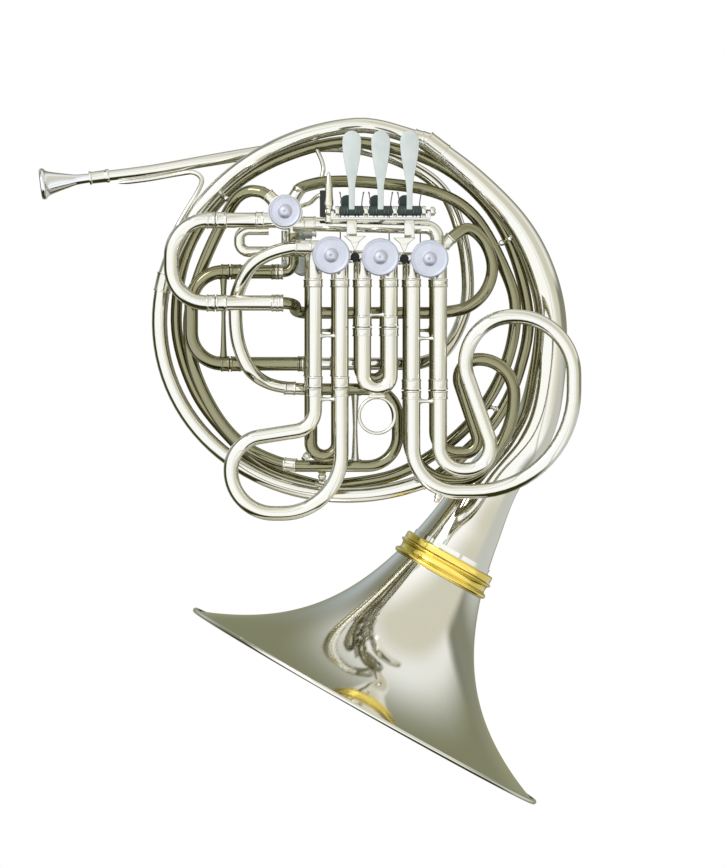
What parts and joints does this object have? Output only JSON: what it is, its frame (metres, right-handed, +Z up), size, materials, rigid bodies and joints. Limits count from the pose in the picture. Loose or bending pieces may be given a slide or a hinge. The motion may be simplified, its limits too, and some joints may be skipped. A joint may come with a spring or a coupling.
{
  "type": "french horn",
  "caption": "Double French horn with a round wrap, rotary valves, pull slides and a detachable screw bell in polished nickel silver.",
  "frame": {"origin": "middle of the round body coil, in the plane of its outer turn", "axes": "+X across the wrap away from the mouthpiece, +Y from the valve caps through to the back of the wrap, +Z up towards the lever tips"},
  "size_m": [0.4272, 0.311, 0.5416],
  "materials": {
    "nickel_silver": "polished nickel silver under clear lacquer",
    "satin_nickel": "satin nickel plate",
    "silver_plate": "polished silver plate",
    "gold_lacquer": "polished brass under gold lacquer",
    "steel_rod": "blued steel"
  },
  "bodies": {
    "wrap": {"coil_outer_turn": "nickel_silver", "coil_second_turn": "nickel_silver", "coil_third_turn": "nickel_silver", "bell_tail": "nickel_silver", "leadpipe": "nickel_silver", "leadpipe_guard": "nickel_silver", "mouthpiece_receiver": "nickel_silver", "f_return_run": "nickel_silver", "f_branch_run": "nickel_silver", "small_bow": "nickel_silver", "elbow": "nickel_silver", "change_run": "nickel_silver", "crook_run": "nickel_silver", "sleeves_f1": "nickel_silver", "sleeves_f2": "nickel_silver", "sleeves_f3": "nickel_silver", "sleeves_b1": "nickel_silver", "sleeves_b2": "nickel_silver", "sleeves_b3": "nickel_silver", "sleeves_main": "nickel_silver", "sleeves_tuning": "nickel_silver", "valve_case_change": "nickel_silver", "valve_case_1": "nickel_silver", "valve_case_2": "nickel_silver", "valve_case_3": "nickel_silver", "valve_cap_change": "satin_nickel", "valve_cap_1": "satin_nickel", "valve_cap_2": "satin_nickel", "valve_cap_3": "satin_nickel", "hinge_rod": "steel_rod", "lever_saddle": "nickel_silver", "thumb_bracket": "satin_nickel"},
    "lever_1": {"lever_1": "satin_nickel"},
    "rotor_1": {"rotor_1": "satin_nickel", "stop_arm_1": "satin_nickel"},
    "lever_2": {"lever_2": "satin_nickel"},
    "rotor_2": {"rotor_2": "satin_nickel", "stop_arm_2": "satin_nickel"},
    "lever_3": {"lever_3": "satin_nickel"},
    "rotor_3": {"rotor_3": "satin_nickel", "stop_arm_3": "satin_nickel"},
    "thumb_lever": {"thumb_lever": "satin_nickel"},
    "rotor_change": {"rotor_change": "satin_nickel", "stop_arm_change": "satin_nickel"},
    "slide_main": {"slide_main": "nickel_silver"},
    "slide_tuning": {"slide_tuning": "nickel_silver"},
    "slide_f1": {"slide_f1": "nickel_silver"},
    "slide_f2": {"slide_f2": "nickel_silver", "pull_ring": "nickel_silver"},
    "slide_f3": {"slide_f3": "nickel_silver"},
    "slide_b1": {"slide_b1": "nickel_silver"},
    "slide_b2": {"slide_b2": "nickel_silver"},
    "slide_b3": {"slide_b3": "nickel_silver"},
    "mouthpiece": {"mouthpiece": "silver_plate"},
    "bell_thread": {"bell_ring_male": "gold_lacquer"},
    "bell": {"bell_flare": "nickel_silver", "bell_ring_female": "gold_lacquer"}
  },
  "joints": [
    {"name": "lever_1_press", "type": "hinge", "parent": "wrap", "child": "lever_1", "pos_m": [-0.0056, -0.06, 0.0764], "axis": [-1, 0, 0], "range_deg": [0, 10.5], "stiffness_Nm_per_rad": 0.2, "springref_deg": -11.46},
    {"name": "rotor_1_turn", "type": "hinge", "parent": "wrap", "child": "rotor_1", "pos_m": [-0.0217, -0.04, 0.042], "axis": [0, 1, 0], "range_deg": [0, 90]},
    {"name": "lever_2_press", "type": "hinge", "parent": "wrap", "child": "lever_2", "pos_m": [0.017, -0.06, 0.0764], "axis": [-1, 0, 0], "range_deg": [0, 10.5], "stiffness_Nm_per_rad": 0.2, "springref_deg": -11.46},
    {"name": "rotor_2_turn", "type": "hinge", "parent": "wrap", "child": "rotor_2", "pos_m": [0.0168, -0.04, 0.0406], "axis": [0, 1, 0], "range_deg": [0, 90]},
    {"name": "lever_3_press", "type": "hinge", "parent": "wrap", "child": "lever_3", "pos_m": [0.0396, -0.06, 0.0764], "axis": [-1, 0, 0], "range_deg": [0, 10.5], "stiffness_Nm_per_rad": 0.2, "springref_deg": -11.46},
    {"name": "rotor_3_turn", "type": "hinge", "parent": "wrap", "child": "rotor_3", "pos_m": [0.0553, -0.04, 0.0392], "axis": [0, -1, 0], "range_deg": [0, 90]},
    {"name": "thumb_lever_press", "type": "hinge", "parent": "wrap", "child": "thumb_lever", "pos_m": [-0.0449, 0.026, 0.06], "axis": [-1, 0, 0], "range_deg": [0, 22], "stiffness_Nm_per_rad": 0.1, "springref_deg": -17.19},
    {"name": "rotor_change_turn", "type": "hinge", "parent": "wrap", "child": "rotor_change", "pos_m": [-0.0579, -0.04, 0.0764], "axis": [0, -1, 0], "range_deg": [0, 90]},
    {"name": "slide_main_pull", "type": "slide", "parent": "wrap", "child": "slide_main", "axis": [-1, 0, 0], "range_m": [0, 0.03]},
    {"name": "slide_tuning_pull", "type": "slide", "parent": "wrap", "child": "slide_tuning", "axis": [-1, 0, 0], "range_m": [0, 0.028]},
    {"name": "slide_f1_pull", "type": "slide", "parent": "wrap", "child": "slide_f1", "axis": [0, 0, -1], "range_m": [0, 0.06]},
    {"name": "slide_f2_pull", "type": "slide", "parent": "wrap", "child": "slide_f2", "axis": [0, 0, -1], "range_m": [0, 0.02]},
    {"name": "slide_f3_pull", "type": "slide", "parent": "wrap", "child": "slide_f3", "axis": [0, 0, -1], "range_m": [0, 0.06]},
    {"name": "slide_b1_pull", "type": "slide", "parent": "wrap", "child": "slide_b1", "axis": [0, 0, -1], "range_m": [0, 0.045]},
    {"name": "slide_b2_pull", "type": "slide", "parent": "wrap", "child": "slide_b2", "axis": [0, 0, -1], "range_m": [0, 0.02]},
    {"name": "slide_b3_pull", "type": "slide", "parent": "wrap", "child": "slide_b3", "axis": [0, 0, -1], "range_m": [0, 0.045]},
    {"name": "mouthpiece_pull", "type": "slide", "parent": "wrap", "child": "mouthpiece", "axis": [-0.9922, 0, -0.1244], "range_m": [0, 0.02]},
    {"name": "bell_unscrew", "type": "hinge", "parent": "wrap", "child": "bell_thread", "pos_m": [0.0666, 0.029, -0.203], "axis": [-0.4924, 0, -0.8704], "range_deg": [0, 1080]},
    {"name": "bell_lift_off", "type": "slide", "parent": "bell_thread", "child": "bell", "axis": [-0.4924, 0, -0.8704], "range_m": [0, 0.0061]}
  ],
  "couplings": [
    {"joint": "rotor_1_turn", "follows": "lever_1_press", "ratio": 8.57},
    {"joint": "rotor_2_turn", "follows": "lever_2_press", "ratio": 8.57},
    {"joint": "rotor_3_turn", "follows": "lever_3_press", "ratio": 8.57},
    {"joint": "rotor_change_turn", "follows": "thumb_lever_press", "ratio": 4.09},
    {"joint": "bell_lift_off", "follows": "bell_unscrew", "m_per_rad": 0.00031831}
  ]
}
